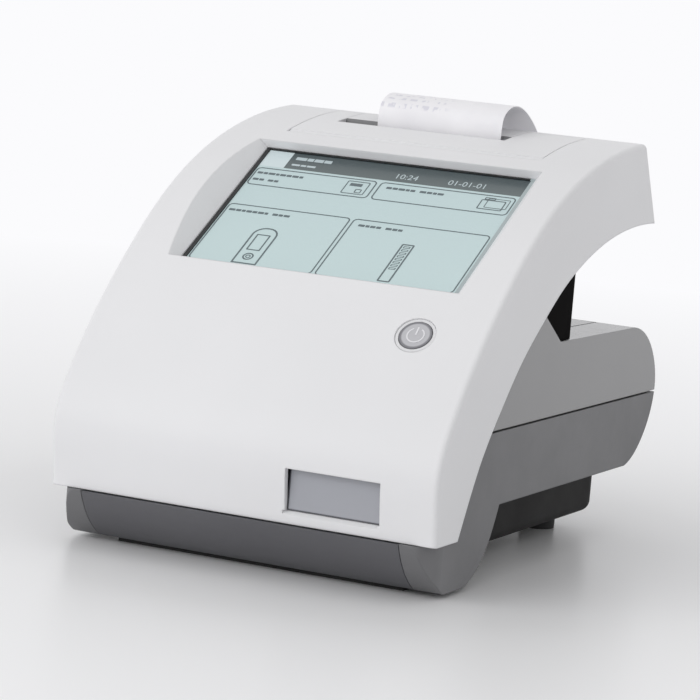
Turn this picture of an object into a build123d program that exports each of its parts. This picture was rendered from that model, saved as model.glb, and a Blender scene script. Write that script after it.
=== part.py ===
"""Urine analyzer: desk-top strip and cassette reader with a touch display, printer and test table.

Lengths are in mm.  x runs to the viewer's right, y runs back from the foot of the hood's front
wall and z runs up from the floor.  Every solid is moved forward by MIDDLE on export, so that the
shared origin lies on the floor under the middle of the object.
"""
import os
from math import atan2, cos, degrees, hypot, pi, radians, sin

from build123d import *

# ---- overall ----
HOOD_HALF = 87.9              # half the hood's width
BASE_HALF = 85.2              # half the base's width
FRONT_Y = -3.2                # most forward point, on the hood's front wall
REAR_Y = 240.0                # most rearward point, on the base's rear
MIDDLE = (FRONT_Y + REAR_Y) / 2
WALL = 2.6                    # moulded wall of the hood
SHELL = 2.5                   # moulded wall of the base
SEAM = 0.4                    # gap between neighbouring mouldings
BASE_SEAM = 0.9               # gap between the upper and lower base
FIT = 0.3                     # gap round parts that pass through or lie in another
RUN = 0.05                    # radial running clearance of a shaft in its bore

# ---- hood side outline, front foot to rear, along the outside ----
HOOD_TOP = [(-0.2, 23.6), (-1.4, 34.0), (-3.0, 46.0), (-2.6, 54.0), (1.0, 63.5), (11.0, 78.8),
            (28.0, 99.4), (47.9, 119.2), (69.4, 137.6), (97.6, 155.3), (124.0, 166.2),
            (150.0, 173.2), (172.0, 176.8), (192.0, 178.4)]
# the same along the underside, rear to front foot
HOOD_UNDER = [(212.3, 142.6), (182.0, 141.6), (156.4, 137.3), (130.2, 129.0), (110.0, 119.3),
              (90.9, 106.5), (72.2, 92.0), (55.0, 74.4), (39.2, 55.5), (27.5, 36.0), (21.0, 23.6)]
HOOD_ROUND = 2.0              # soft outer edge along both sides

# ---- base outline ----
SEAM_Z = 64.1                 # middle of the seam between upper and lower base
TOP_FRONT = (119.4, 96.2)     # where the flat top meets the slanted shoulder
SHOULDER = (88.0, 116.4)      # far end of the shoulder, inside the hood
TOP_REAR = (208.0, 95.6)
BELLY_Z = 32.6                # underside of the base's rear part
LID_HALF = 66.6               # half width of the battery lid's opening
LID_GAP = 0.9                 # finger-wide groove along the lid's sides
LID_Y = (170.0, 209.6)

# ---- chin and table front ----
CHIN_TOP = (-2.2, 23.2)
CHIN_MID = (4.6, 12.0)
CHIN_END = (16.0, 2.6)
CHIN_HALF = 72.7              # half the distance between the two chin seams

# ---- display opening in the hood, along the outer surface ----
OPEN_LOW = (48.2, 119.4)
OPEN_HIGH = (124.5, 166.1)
OPEN_HALF = 63.7              # half width at the display's own plane
OPEN_FLARE = 0.8              # sideways slope of the recess walls
GLASS_DEPTH = 4.6             # touch glass below the chord of the opening
GLASS_BORDER = 6.2            # glass hidden behind the hood on each side
GLASS_ENDS = 3.0              # the same above and below

# ---- front window and power button ----
WINDOW_X = (20.7, 62.9)
WINDOW_Z = (28.9, 46.4)
BUTTON_Y = 31.0
BUTTON_X = 57.3
BUTTON_R = 7.0
BUTTON_TRAVEL = 1.2

# ---- printer cover ----
COVER_HALF = 61.0
COVER_Y = (137.6, 188.0)
SLOT_X = (-48.0, 33.5)
SLOT_Y = (161.0, 169.6)
PAPER_HALF = 30.0             # half of a 60 mm paper roll
PAPER = 0.35                  # thickness of the paper strip
HINGE_DEPTH = 2.4             # hinge axes below the outer surface
PIN_R = 1.0

# ---- test table ----
TABLE_TRAVEL = 85.0
TABLE_HALF = 32.0
TABLE_Z = (13.0, 18.0)
MODULE = 0.8
PINION_TEETH = 18
PINION_R = MODULE * PINION_TEETH / 2
RACK_PITCH = pi * MODULE
PINION_Y = 31.5
PITCH_X = 34.4                # pitch line of the rack on the table's right side
BACKLASH = 0.16


def point3(p, x=0.0):
    return (x, p[0], p[1])


def outline(start, *moves):
    """Closed face in the side plane.  A move is a line (1 point), an arc (2) or a spline (more)."""
    edges, here = [], start
    for move in moves:
        if len(move) == 1:
            edges.append(Line(point3(here), point3(move[0])))
        elif len(move) == 2:
            edges.append(ThreePointArc(point3(here), point3(move[0]), point3(move[1])))
        else:
            edges.append(Spline([point3(here)] + [point3(p) for p in move]))
        here = move[-1]
    if hypot(here[0] - start[0], here[1] - start[1]) > 1e-6:
        edges.append(Line(point3(here), point3(start)))
    return Face(Wire(edges))


def across(face, x0, x1):
    """Solid made by running a side face across the object from x0 to x1."""
    return extrude(Pos(x0, 0, 0) * face, amount=x1 - x0, dir=(1, 0, 0))


def block(x, y, z):
    """Box between two values on each axis."""
    size = (x[1] - x[0], y[1] - y[0], z[1] - z[0])
    return Pos((x[0] + x[1]) / 2, (y[0] + y[1]) / 2, (z[0] + z[1]) / 2) * Box(*size)


def rod_x(r, x, y, z):
    """Cylinder along x between two values."""
    return Pos((x[0] + x[1]) / 2, y, z) * Rot(0, 90, 0) * Cylinder(r, x[1] - x[0])


def rod_y(r, x, y, z):
    return Pos(x, (y[0] + y[1]) / 2, z) * Rot(90, 0, 0) * Cylinder(r, y[1] - y[0])


def rod_z(r, x, y, z):
    return Pos(x, y, (z[0] + z[1]) / 2) * Cylinder(r, z[1] - z[0])


def inset(points, depth):
    """Points moved sideways by depth, to the right of the direction of travel."""
    moved = []
    for i, (y, z) in enumerate(points):
        a = points[max(i - 1, 0)]
        b = points[min(i + 1, len(points) - 1)]
        run, rise = b[0] - a[0], b[1] - a[1]
        length = hypot(run, rise)
        moved.append((y + depth * rise / length, z - depth * run / length))
    return moved


def on_top(y):
    """Height and slope of the hood's outer surface above a place on the depth axis."""
    for (y0, z0), (y1, z1) in zip(HOOD_TOP[3:], HOOD_TOP[4:]):
        if y0 <= y <= y1:
            return z0 + (z1 - z0) * (y - y0) / (y1 - y0), atan2(z1 - z0, y1 - y0)
    return HOOD_TOP[-1][1], 0.0


def tilted(y, z, slope):
    """Frame whose local y runs up a slope and local z stands off it."""
    return Location((0, y, z), (degrees(slope), 0, 0))


def one(shape):
    """The shape as one solid."""
    solids = shape.solids()
    return max(solids, key=lambda s: s.volume)


def save(name, shape):
    os.makedirs("parts", exist_ok=True)
    solids = [Pos(0, -MIDDLE, 0) * s for s in shape.solids()]
    export_step(solids[0] if len(solids) == 1 else Compound(children=solids), f"parts/{name}.step")


def group(shapes):
    return Compound(children=[s for shape in shapes for s in shape.solids()])


# ---------------------------------------------------------------- hood
hood_face = outline(HOOD_TOP[0], HOOD_TOP[1:], (HOOD_UNDER[0],), HOOD_UNDER[1:])
hood_full = across(hood_face, -HOOD_HALF, HOOD_HALF)
side_edges = [e for e in hood_full.edges()
              if abs(abs(e.center().X) - HOOD_HALF) < 0.01 and e.center().Z > 60
              and e.length > 200 and e.center().Z > 0.62 * e.center().Y + 60]
hood_full = fillet(side_edges, HOOD_ROUND)

inner_top = inset(HOOD_TOP, WALL)
REAR_RUN, REAR_DROP = HOOD_UNDER[0][0] - HOOD_TOP[-1][0], HOOD_TOP[-1][1] - HOOD_UNDER[0][1]
REAR_LENGTH = hypot(REAR_RUN, REAR_DROP)
ALONG = (REAR_RUN / REAR_LENGTH, -REAR_DROP / REAR_LENGTH)     # down the hood's rear edge
inner_top[-1] = (HOOD_TOP[-1][0] + WALL * (ALONG[0] + ALONG[1]), HOOD_TOP[-1][1] + WALL * (ALONG[1] - ALONG[0]))
rear_low = (inner_top[-1][0] + 1.6 * REAR_LENGTH * ALONG[0], inner_top[-1][1] + 1.6 * REAR_LENGTH * ALONG[1])
FRONT_IN = inner_top[0][0]
CAVITY_FOOT = HOOD_TOP[0][1] / 2      # below the hood's open foot
cavity_face = outline((FRONT_IN, CAVITY_FOOT), (inner_top[0],), inner_top[1:], (rear_low,),
                      ((rear_low[0], CAVITY_FOOT),))
cavity = across(cavity_face, -(HOOD_HALF - WALL), HOOD_HALF - WALL)

# display frame on the slope of the opening
slope = atan2(OPEN_HIGH[1] - OPEN_LOW[1], OPEN_HIGH[0] - OPEN_LOW[0])
OPEN_LEN = hypot(OPEN_HIGH[1] - OPEN_LOW[1], OPEN_HIGH[0] - OPEN_LOW[0])
screen = tilted((OPEN_LOW[0] + OPEN_HIGH[0]) / 2, (OPEN_LOW[1] + OPEN_HIGH[1]) / 2, slope)


def plate(half_x, half_y, z0, z1):
    """Slab in the display's frame, z measured off the chord of the opening."""
    return screen * Pos(0, 0, (z0 + z1) / 2) * Box(2 * half_x, 2 * half_y, z1 - z0)


RIM = 4.0                     # moulded rim round the display opening
hood = hood_full - cavity
hood += (plate(OPEN_HALF + 9.0, OPEN_LEN / 2 + RIM, -GLASS_DEPTH + 0.6, 12.0) & hood_full)
FLARE_TOP = 12.0              # well above the crown of the hood's surface
FLARE_HALF = OPEN_HALF + OPEN_FLARE * (GLASS_DEPTH + FLARE_TOP)
flare = Polyline([(-OPEN_HALF, -GLASS_DEPTH), (OPEN_HALF, -GLASS_DEPTH), (FLARE_HALF, FLARE_TOP),
                  (-FLARE_HALF, FLARE_TOP), (-OPEN_HALF, -GLASS_DEPTH)])
flare_face = Face(Wire(flare.edges()))
opening = screen * Pos(0, OPEN_LEN / 2, 0) * Rot(90, 0, 0) * extrude(flare_face, amount=OPEN_LEN)
hood -= opening

# window opening with a scooped lip under it
window_hole = block(WINDOW_X, (-8, 8), WINDOW_Z)
hood -= window_hole
lip = 3.4
lip_face = outline((-6.0, WINDOW_Z[0] + 0.1), ((1.6, WINDOW_Z[0] + 0.1),), ((-3.2, WINDOW_Z[0] - lip),),
                   ((-6.0, WINDOW_Z[0] - lip),))
hood -= across(lip_face, WINDOW_X[0] - 1.0, WINDOW_X[1] - 1.0)

# button hole along the surface's own direction
button_z, button_slope = on_top(BUTTON_Y)
button_at = Location((BUTTON_X, BUTTON_Y, button_z), (degrees(button_slope), 0, 0))
RING_R = BUTTON_R + 1.6
hood -= button_at * Pos(0, 0, -4) * Cylinder(RING_R + 0.1, 20)

# printer bay opening
cover_z, cover_slope = on_top(COVER_Y[0])
hinge_from = tilted(COVER_Y[0], cover_z, cover_slope)
bay_gap = 0.3
bay_cut = block((-COVER_HALF, COVER_HALF), (COVER_Y[0] + 12.0, COVER_Y[1]), (150.0, 190.0))
bay_cut += hinge_from * Pos(0, 10.0, 5.0) * Box(2 * COVER_HALF, 20.0, 30.0)
hood -= bay_cut
skin_all = hood_full - across(cavity_face, -HOOD_HALF - 1, HOOD_HALF + 1)

# hinge bosses for the cover, under the hood's skin
axis_y_local = HINGE_DEPTH + bay_gap
cover_axis = hinge_from * Pos(0, axis_y_local, -HINGE_DEPTH)
cover_pivot = (cover_axis.position.Y, cover_axis.position.Z)
BOSS = 6.0
for side in (-1, 1):
    x0, x1 = sorted((side * (COVER_HALF + 0.01), side * (COVER_HALF + BOSS)))
    lug = block((x0, x1), (cover_pivot[0] - 4, cover_pivot[0] + 4), (cover_pivot[1] - 4, cover_pivot[1] + 6))
    hood += lug & hood_full
    hood -= rod_x(PIN_R + RUN, (x0 - 1, x1 - 1.5) if side > 0 else (x0 + 1.5, x1 + 1), *cover_pivot)

# screw posts under the hood's skin, for screws that come up through the underside panel
POST_R = 3.6
SCREW_R = 1.5
POSTS = [(-75.0, 112.0), (75.0, 112.0), (-75.0, 196.0), (75.0, 196.0)]


def under_z(y):
    """Height of the hood's underside above a place on the depth axis."""
    for (y0, z0), (y1, z1) in zip(HOOD_UNDER[1:], HOOD_UNDER):
        if y0 <= y <= y1:
            return z0 + (z1 - z0) * (y - y0) / (y1 - y0)
    return HOOD_UNDER[0][1]


PANEL = 2.2
POST_FOOT = PANEL + 4.0
for x, y in POSTS:
    foot = under_z(y) + POST_FOOT
    hood += rod_z(POST_R, x, y, (foot, foot + 60)) & hood_full
    hood -= rod_z(SCREW_R, x, y, (foot - 1, foot + 9))
hood = one(hood)
save("hood_shell", hood)

# ---------------------------------------------------------------- underside panel of the hood
panel_out = inset(HOOD_UNDER, 0.0)
panel_in = inset(HOOD_UNDER, PANEL)
PANEL_FRONT = 8
panel_out = panel_out[:PANEL_FRONT]
panel_in = panel_in[:PANEL_FRONT]
back_trim = WALL + SEAM
panel_out[0] = (HOOD_UNDER[0][0] - back_trim * 1.15, HOOD_UNDER[0][1] - 0.03)
panel_in[0] = (panel_out[0][0] - PANEL * 0.573, panel_out[0][1] + PANEL)
panel_face = outline(panel_out[0], panel_out[1:], (panel_in[-1],), panel_in[-2::-1])
PANEL_HALF = HOOD_HALF - WALL - FIT
panel = across(panel_face, -PANEL_HALF, PANEL_HALF)
for x, y in POSTS:
    foot = under_z(y) + POST_FOOT
    panel += rod_z(POST_R, x, y, (under_z(y) + PANEL / 2, foot))
    panel -= rod_z(SCREW_R + 0.2, x, y, (under_z(y) - 10, foot + 1))
    panel -= rod_z(3.0, x, y, (under_z(y) - 10, under_z(y) + 2.6))
panel -= block((-30, 30), (104, 126), (90, 150))
panel = one(panel)
save("hood_underside", panel)

hood_screws = []
for x, y in POSTS:
    foot = under_z(y) + POST_FOOT
    hood_screws.append(rod_z(2.7, x, y, (under_z(y) + 1.2, under_z(y) + 2.6)) +
                       rod_z(SCREW_R - 0.02, x, y, (under_z(y) + 2.6, foot + 8)))
save("hood_screws", group(hood_screws))

# ---------------------------------------------------------------- printer cover and exit bezel
cover_skin = skin_all & block((-COVER_HALF + bay_gap, COVER_HALF - bay_gap),
                              (cover_pivot[0], COVER_Y[1] - bay_gap), (150.0, 190.0))
nose = rod_x(HINGE_DEPTH, (-COVER_HALF + bay_gap, COVER_HALF - bay_gap), *cover_pivot)
strap = hinge_from * Pos(0, axis_y_local + 4.0, -HINGE_DEPTH) * Box(2 * (COVER_HALF - bay_gap), 8.0,
                                                                   2 * HINGE_DEPTH)
cover = cover_skin + ((nose + strap) & hood_full)
slot_box = block(SLOT_X, (SLOT_Y[0], COVER_Y[1] + 1), (150.0, 190.0))
cover -= slot_box
cover -= rod_x(PIN_R, (-COVER_HALF, -COVER_HALF + 8), *cover_pivot)
cover -= rod_x(PIN_R, (COVER_HALF - 8, COVER_HALF), *cover_pivot)
# stiffening ribs under the cover
for x in (-58.0, 58.0):
    cover += block((x - 0.8, x + 0.8), (cover_pivot[0] + 8, 184.0), (163.0, 176.0)) & hood_full
cover = one(cover)
save("printer_cover", cover)
pins = [rod_x(PIN_R, (side * (COVER_HALF - 8), side * (COVER_HALF + BOSS - 2)) if side > 0 else
              (side * (COVER_HALF + BOSS - 2), side * (COVER_HALF - 8)), *cover_pivot) for side in (-1, 1)]
save("cover_hinge_pins", group(pins))

bezel = skin_all & block((SLOT_X[0] + bay_gap, SLOT_X[1] - bay_gap), (SLOT_Y[1], COVER_Y[1] - bay_gap),
                         (150.0, 190.0))
BEZEL_LEG_Y = (SLOT_Y[1] + 6.0, SLOT_Y[1] + 9.0)
for x in (SLOT_X[0] + 4, SLOT_X[1] - 5):
    bezel += block((x - 2, x + 2), BEZEL_LEG_Y, (162.0, 176.0)) & hood_full
bezel = one(bezel)
save("paper_exit_bezel", bezel)

# ---------------------------------------------------------------- display stack
GASKET = 0.5
GLASS = 1.6
glass_top = -GLASS_DEPTH
glass_half, glass_long = OPEN_HALF + GLASS_BORDER, OPEN_LEN / 2 + GLASS_ENDS
gasket = plate(glass_half, glass_long, glass_top + 0.1, glass_top + 0.1 + GASKET)
gasket -= plate(OPEN_HALF - 1.2, OPEN_LEN / 2 - 1.0, glass_top - 1, glass_top + 2)
save("display_gasket", gasket)
glass = plate(glass_half, glass_long, glass_top + 0.1 - GLASS, glass_top + 0.1)
save("touch_glass", glass)
LCD = 3.2
BACKLIGHT = 3.0
LCD_INSET = 2.0               # liquid crystal panel smaller than the glass all round
lcd_top = glass_top + 0.1 - GLASS
lcd = plate(glass_half - LCD_INSET, glass_long - LCD_INSET, lcd_top - LCD, lcd_top)
save("lcd_panel", lcd)
pan_top = lcd_top - LCD
back = plate(glass_half - 0.4, glass_long - 0.4, pan_top - BACKLIGHT, pan_top)
back += plate(glass_half - 0.4, glass_long - 0.4, pan_top, lcd_top - 1.0) - plate(
    glass_half - LCD_INSET + 0.2, glass_long - LCD_INSET + 0.2, pan_top - 1, lcd_top)
save("lcd_backlight", back)
board_top = pan_top - BACKLIGHT
STANDOFF = 3.0
disp_posts = [screen * Pos(sx * (OPEN_HALF - 4), sy * (OPEN_LEN / 2 - 5), board_top - STANDOFF / 2) *
              Cylinder(2.5, STANDOFF) for sx in (-1, 1) for sy in (-1, 1)]
disp_board = plate(OPEN_HALF - 1.0, OPEN_LEN / 2 - 2.0, board_top - STANDOFF - 1.6, board_top - STANDOFF)
save("display_board", disp_board)

# ---------------------------------------------------------------- front window
w_in = 0.2
window_plate = block((WINDOW_X[0] + w_in, WINDOW_X[1] - w_in), (1.0, 2.6), (WINDOW_Z[0] + w_in, WINDOW_Z[1] - w_in))
window_plate += block((WINDOW_X[0] - 2.5, WINDOW_X[1] + 2.5), (2.6, 4.0), (WINDOW_Z[0] - 2.5, WINDOW_Z[1] + 2.5))
save("front_window", window_plate)

# ---------------------------------------------------------------- power button
ring = button_at * Pos(0, 0, -2.2) * (Cylinder(RING_R, 4.0) - Cylinder(BUTTON_R + 0.25, 6.0))
ring += button_at * Pos(0, 0, -5.2) * (Cylinder(RING_R + 2.5, 2.0) - Cylinder(BUTTON_R + 0.25, 6.0))
ring += button_at * Pos(0, 0, -8.7) * (Cylinder(RING_R + 2.5, 5.0) - Cylinder(RING_R, 6.0))
ring += button_at * Pos(0, 0, -12.2) * Cylinder(RING_R + 2.5, 2.0) - button_at * Pos(0, 0, -12.2) * Cylinder(3.2, 3)
BOARD_DROP = 20.0             # button's circuit board below the hood's surface
for x in (-9.0, 9.0):
    ring += button_at * Pos(x, 0, -(13.0 + BOARD_DROP) / 2) * Box(2.4, 6.0, BOARD_DROP - 13.0)
ring = one(ring)
save("button_ring", ring)
button = button_at * Pos(0, 0, -2.3) * Cylinder(BUTTON_R, 4.6)
button += button_at * Pos(0, 0, -5.6) * Cylinder(BUTTON_R - 0.8, 2.0)
button += button_at * Pos(0, 0, -10.3) * Cylinder(2.6, 7.4)
button = one(button)
save("power_button", button)
SWITCH_TOP = -14.0 - BUTTON_TRAVEL
tact = button_at * Pos(0, 0, SWITCH_TOP - 1.2) * Cylinder(1.6, 2.4)
tact += button_at * Pos(0, 0, SWITCH_TOP - 3.6) * Box(6, 6, 2.4)
save("tact_switch", one(tact))
button_board = button_at * Pos(0, 0, -BOARD_DROP - 0.8) * Box(22, 22, 1.6)
save("button_board", button_board)

# ---------------------------------------------------------------- neck between hood and base
under_cut_pts = inset(HOOD_UNDER, -SEAM)
under_cut = across(outline((HOOD_UNDER[0][0] + 30, 200.0), ((HOOD_UNDER[0][0] + 30, under_cut_pts[0][1]),),
                           (under_cut_pts[0],), under_cut_pts[1:], ((under_cut_pts[-1][0], HOOD_TOP[0][1] - 0.3),),
                           ((-60.0, HOOD_TOP[0][1] - 0.3),), ((-60.0, 200.0),)), -100, 100)
NECK_HALF = BASE_HALF - 0.8
NECK_Y = 135.2
neck_face = outline((TOP_FRONT[0] + 0.6, TOP_FRONT[1] + 0.2), ((NECK_Y, TOP_FRONT[1] + 0.2),),
                    ((NECK_Y, 150.0),), ((SHOULDER[0] + 0.6, 150.0),), ((SHOULDER[0] + 0.6, SHOULDER[1] + 0.2),))
neck = across(neck_face, -NECK_HALF, NECK_HALF)
neck = fillet([e for e in neck.edges() if abs(e.center().Y - NECK_Y) < 0.01
               and abs(abs(e.center().X) - NECK_HALF) < 0.01], 5.0)
neck -= under_cut
neck -= block((-NECK_HALF + SHELL, NECK_HALF - SHELL), (60.0, NECK_Y - SHELL), (90.0, 150.0))
neck = one(neck)
save("neck", neck)

# ---------------------------------------------------------------- upper base
upper_face = outline((30.0, SEAM_Z + BASE_SEAM / 2), ((REAR_Y - 0.1, SEAM_Z + BASE_SEAM / 2),),
                     ((REAR_Y, 67.0), (239.0, 72.5), (234.4, 81.0), (227.2, 88.2), (218.0, 93.2), TOP_REAR),
                     (TOP_FRONT,), (SHOULDER,))
upper = across(upper_face, -BASE_HALF, BASE_HALF)
upper_in = inset([(REAR_Y - 0.1, SEAM_Z - 4), (REAR_Y, 67.0), (239.0, 72.5), (234.4, 81.0), (227.2, 88.2),
                  (218.0, 93.2), TOP_REAR], -SHELL)
upper_void_face = outline((30.0, SEAM_Z - 4), (upper_in[0],), upper_in[1:],
                          ((TOP_FRONT[0] + 0.8, TOP_FRONT[1] - SHELL),),
                          ((SHOULDER[0] + 0.8, SHOULDER[1] - SHELL - 0.6),), ((30.0, SHOULDER[1] - SHELL - 40),))
upper_void = across(upper_void_face, -(BASE_HALF - SHELL), BASE_HALF - SHELL)
upper_solid = upper
upper = upper - upper_void - under_cut
lid_cut = block((-LID_HALF, LID_HALF), LID_Y, (85.0, 100.0))
lid_z = TOP_REAR[1]
LID_AXIS = (LID_Y[1] - HINGE_DEPTH - bay_gap, lid_z - HINGE_DEPTH + 0.06)
upper -= lid_cut
for side in (-1, 1):
    x0, x1 = sorted((side * (LID_HALF + 0.01), side * (LID_HALF + BOSS)))
    upper += block((x0, x1), (LID_AXIS[0] - 4, LID_AXIS[0] + 4), (LID_AXIS[1] - 4, LID_AXIS[1] + 3)) & upper_solid
    upper -= rod_x(PIN_R + RUN, (x0 - 1, x1 - 1.5) if side > 0 else (x0 + 1.5, x1 + 1), *LID_AXIS)
# opening for the neck's cables, and openings for the rear sockets
upper -= block((-38, 38), (TOP_FRONT[0] + 2, NECK_Y - 4), (90, 100))
UPPER_POSTS = [(-74.0, 100.0), (74.0, 100.0), (-74.0, 214.0), (74.0, 214.0)]
for x, y in UPPER_POSTS:
    upper += rod_z(POST_R, x, y, (SEAM_Z + SHELL, 110.0)) & upper_solid
    upper -= rod_z(SCREW_R, x, y, (SEAM_Z - 1, SEAM_Z + 12))
upper = one(upper - under_cut)
save("base_upper", upper)

lid = (upper_solid - upper_void) & block((-LID_HALF + LID_GAP, LID_HALF - LID_GAP),
                                         (LID_Y[0] + bay_gap, LID_AXIS[0]), (85.0, 100.0))
lid_nose = rod_x(HINGE_DEPTH, (-LID_HALF + LID_GAP, LID_HALF - LID_GAP), *LID_AXIS)
lid_strap = block((-LID_HALF + LID_GAP, LID_HALF - LID_GAP), (LID_AXIS[0] - 6, LID_AXIS[0]),
                  (LID_AXIS[1] - HINGE_DEPTH, LID_AXIS[1] + HINGE_DEPTH))
lid += (lid_nose + lid_strap) & upper_solid
lid -= rod_x(PIN_R, (-LID_HALF, -LID_HALF + 8), *LID_AXIS)
lid -= rod_x(PIN_R, (LID_HALF - 8, LID_HALF), *LID_AXIS)
lid -= block((-9, 9), (LID_Y[0], LID_Y[0] + 5), (94.4, 98.0))
lid = one(lid)
save("battery_lid", lid)
lid_pins = [rod_x(PIN_R, tuple(sorted((side * (LID_HALF - 8), side * (LID_HALF + BOSS - 2)))), *LID_AXIS)
            for side in (-1, 1)]
save("lid_hinge_pins", group(lid_pins))

# ---------------------------------------------------------------- lower base
TABLE_BACK = 19.8             # rear of the table's front moulding
PORT_X = (-54.0, 54.0)        # opening for the sockets at the rear
PORT_Z = (43.5, 60.5)
FLOOR_GAP = 2.0               # feet below the leg
PAN_HALF = 70.0               # bottom pan under the rear part
PAN_Y = (48.0, 222.0)
PAN_Z = (9.0, BELLY_Z)
PAN_FLOOR = 2.4
CHANNEL_X = (-36.0, 38.8)     # guide channel of the test table
CHANNEL_Z = PAN_Z[0] + PAN_FLOOR
lower_face = outline(
    (REAR_Y - 0.1, SEAM_Z - BASE_SEAM / 2), ((239.3, 60.4),),
    ((236.8, 53.6), (230.2, 44.4), (221.5, 37.2), (210.0, BELLY_Z)),
    ((67.5, BELLY_Z),), ((61.5, 21.0), (54.5, 11.8), (46.0, 5.6), (36.0, FLOOR_GAP)),
    ((18.0, FLOOR_GAP),), (CHIN_END,), (CHIN_MID, CHIN_TOP), ((CHIN_TOP[0], SEAM_Z - BASE_SEAM / 2),))
lower = across(lower_face, -BASE_HALF, BASE_HALF)
CORNER_X, CORNER_Y = 5.6, 13.0     # slant of the chin's front corners, seen from above
corner = [(BASE_HALF - CORNER_X, CHIN_TOP[0]), (BASE_HALF, CHIN_TOP[0] + CORNER_Y), (BASE_HALF, REAR_Y + 1)]
rim = [(-x, y) for x, y in corner] + corner[::-1]
plan = extrude(Face(Wire(Polyline(rim + rim[:1]).edges())), amount=SEAM_Z, dir=(0, 0, 1))
for (x, y), radius in zip(corner[:2], (6.0, 12.0)):
    plan = fillet([e for e in plan.edges() if abs(abs(e.center().X) - x) < 0.01
                   and abs(e.center().Y - y) < 0.01 and e.length > SEAM_Z / 2], radius)
lower = lower & plan
lower_all = lower
lower -= under_cut
LOWER_IN = BASE_HALF - SHELL
lower_void = block((-LOWER_IN, LOWER_IN), (70.0, 205.0), (BELLY_Z + SHELL, SEAM_Z + 2))
rear_void = across(outline((204.0, BELLY_Z + SHELL), ((210.0, BELLY_Z + SHELL),), ((219.6, 39.4),), ((228.0, 46.2),),
                           ((234.2, 54.6),), ((237.0, 62.0),), ((237.0, 70.0),), ((204.0, 70.0),)),
                   -LOWER_IN, LOWER_IN)
lower -= lower_void + rear_void
lower -= across(outline((71.0, BELLY_Z + SHELL), ((71.0, 70.0),), ((30.0, 70.0),), ((30.0, BELLY_Z + SHELL),)),
                -LOWER_IN, LOWER_IN)
# leg pocket, open to the rear for the table and up to the body
LEG_HALF = 78.0
leg_void = across(outline((20.0, 5.2), ((36.0, 5.2),), ((44.0, 8.0),), ((52.0, 14.0),), ((58.6, 22.6),),
                          ((65.0, BELLY_Z + SHELL + 4),), ((20.0, BELLY_Z + SHELL + 4),)), -LEG_HALF, LEG_HALF)
lower -= leg_void
lower -= block((-58.0, 58.0), (60.0, 214.0), (BELLY_Z - 1, BELLY_Z + SHELL + 1))
lower -= block((CHANNEL_X[0] - FIT, CHANNEL_X[1] + FIT), (40.0, 75.0), (CHANNEL_Z - 0.2, BELLY_Z + SHELL + 1))
# opening for the table's front
lower -= block((-CHIN_HALF, CHIN_HALF), (-10.0, TABLE_BACK + FIT), (0.0, 30.0))
lower -= block(PORT_X, (222.0, 250.0), PORT_Z)
for x, y in UPPER_POSTS:
    lower += rod_z(POST_R, x, y, (BELLY_Z + 1.6, SEAM_Z - BASE_SEAM / 2)) & lower_all
    lower += rod_z(POST_R, x, y, (SEAM_Z - BASE_SEAM / 2 - 1, SEAM_Z + SHELL))
    lower -= rod_z(SCREW_R + 0.2, x, y, (BELLY_Z - 2, SEAM_Z + SHELL + 1))
    lower -= rod_z(3.0, x, y, (BELLY_Z - 5, BELLY_Z + 3.6))
lower = one(lower)
save("base_lower", lower)
base_screws = [rod_z(2.7, x, y, (BELLY_Z + 1.4, BELLY_Z + 3.6)) +
               rod_z(SCREW_R - 0.02, x, y, (BELLY_Z + 3.6, SEAM_Z + 10)) for x, y in UPPER_POSTS]
save("base_screws", group(base_screws))

# ---------------------------------------------------------------- bottom pan with feet
PAN_WALL = 4.2
pan = block((-PAN_HALF, PAN_HALF), PAN_Y, PAN_Z)
pan = fillet([e for e in pan.edges() if abs(e.center().Y - PAN_Y[1]) < 0.01 and
              abs(abs(e.center().X) - PAN_HALF) < 0.01], 14.0)
pan = fillet([e for e in pan.edges() if abs(e.center().Z - PAN_Z[0]) < 0.01 and e.center().Y > PAN_Y[0] + 1], 5.0)
pan -= block((-PAN_HALF + PAN_WALL, PAN_HALF - PAN_WALL), (PAN_Y[0] - 1, PAN_Y[1] - 2 * PAN_WALL),
             (PAN_Z[0] + PAN_FLOOR, PAN_Z[1] + 1))
pan -= lower_all - block((-300, 300), (-100, 400), (BELLY_Z, 200))
save("bottom_pan", one(pan))

# ---------------------------------------------------------------- feet
save("front_foot", block((-66.0, 66.0), (21.0, 34.0), (0.0, FLOOR_GAP)))
save("rear_feet", group([rod_z(8.0, x, 204.0, (0.0, PAN_Z[0])) for x in (-48.0, 48.0)]))

# ---------------------------------------------------------------- test table
front = lower_all & block((-CHIN_HALF + FIT, CHIN_HALF - FIT), (-10.0, TABLE_BACK),
                          (FLOOR_GAP, CHIN_TOP[1] - 0.2))
front -= across(outline((3.4, 20.2), ((TABLE_BACK + 1, 20.2),), ((TABLE_BACK + 1, 5.4),), ((17.0, 5.4),),
                        ((8.4, 13.4),)), -CHIN_HALF + SHELL, CHIN_HALF - SHELL)
TONGUE_Y = 11.0               # front of the tray's tongue inside the table's front
for x in (-24.0, 24.0):
    front += block((x - 3, x + 3), (TONGUE_Y + 3, TABLE_BACK), (5.0, TABLE_Z[0]))
save("table_front", one(front))
TRAY_REAR = 150.0
tray = block((-TABLE_HALF, TABLE_HALF), (TABLE_BACK + 0.4, TRAY_REAR), TABLE_Z)
tray += block((-28.0, 28.0), (TONGUE_Y, TABLE_BACK + 1), (TABLE_Z[0], TABLE_Z[0] + 2.4))
INSERT_HALF = 22.0
INSERT_Y = (23.0, 118.0)
INSERT_Z = 15.4
tray -= block((-INSERT_HALF - FIT, INSERT_HALF + FIT), (INSERT_Y[0] - FIT, INSERT_Y[1] + FIT),
              (INSERT_Z, TABLE_Z[1] + 1))
tray -= block((-20.0, 20.0), (124.0, 144.0), (TABLE_Z[0] - 1, TABLE_Z[1] + 1))
save("table_tray", one(tray))
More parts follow.
